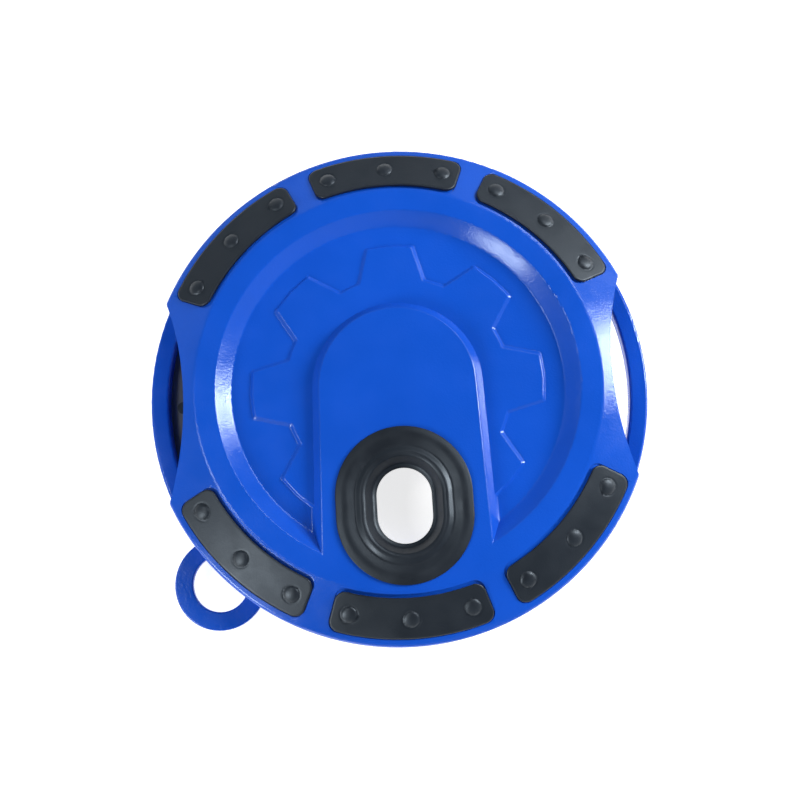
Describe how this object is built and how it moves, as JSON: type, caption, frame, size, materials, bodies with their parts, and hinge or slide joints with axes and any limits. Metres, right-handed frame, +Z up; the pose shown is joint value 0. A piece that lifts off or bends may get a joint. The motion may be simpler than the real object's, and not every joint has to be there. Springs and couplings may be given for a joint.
{
  "type": "winding reel",
  "caption": "Shallow round winding reel: a front disc with a padded off-centre finger hole and rubber bumpers turns on a rear carrier with an outer ring and hang loop.",
  "frame": {"origin": "bottom centre of the reel, on the spin axis, in the plane that the feet stand on", "axes": "+Z up through the front cover along the spin axis; the finger hole is towards -Y and the notches are at +X and -X"},
  "size_m": [0.2004, 0.2004, 0.0318],
  "materials": {
    "blue_plastic": "moulded semi-gloss",
    "black_rubber": "satin rubber",
    "black_plastic": "fine moulded texture",
    "bearing_plastic": "smooth",
    "steel": "zinc plated"
  },
  "bodies": {
    "carrier": {"rear_carrier": "black_plastic", "back_ring": "blue_plastic", "ring_screws": "steel", "hub_bush": "bearing_plastic", "hub_cap": "black_plastic", "rear_foot_1": "black_rubber", "rear_foot_2": "black_rubber", "rear_foot_3": "black_rubber"},
    "disc": {"front_cover": "blue_plastic", "bumper_pad_1": "black_rubber", "bumper_pad_2": "black_rubber", "bumper_pad_3": "black_rubber", "bumper_pad_4": "black_rubber", "bumper_pad_5": "black_rubber", "bumper_pad_6": "black_rubber", "finger_grommet": "black_rubber", "grommet_retainer": "black_plastic", "grommet_screws": "steel", "cord_drum": "black_plastic", "drum_screws": "steel", "cord_cleat": "black_plastic", "axle": "steel", "front_washer": "steel", "disc_spring": "steel", "rear_washer": "steel", "axle_screw": "steel"}
  },
  "joints": [
    {"name": "disc_spin", "type": "hinge", "parent": "carrier", "child": "disc", "pos_m": [0, 0, 0.015], "axis": [0, 0, 1], "continuous": true}
  ]
}
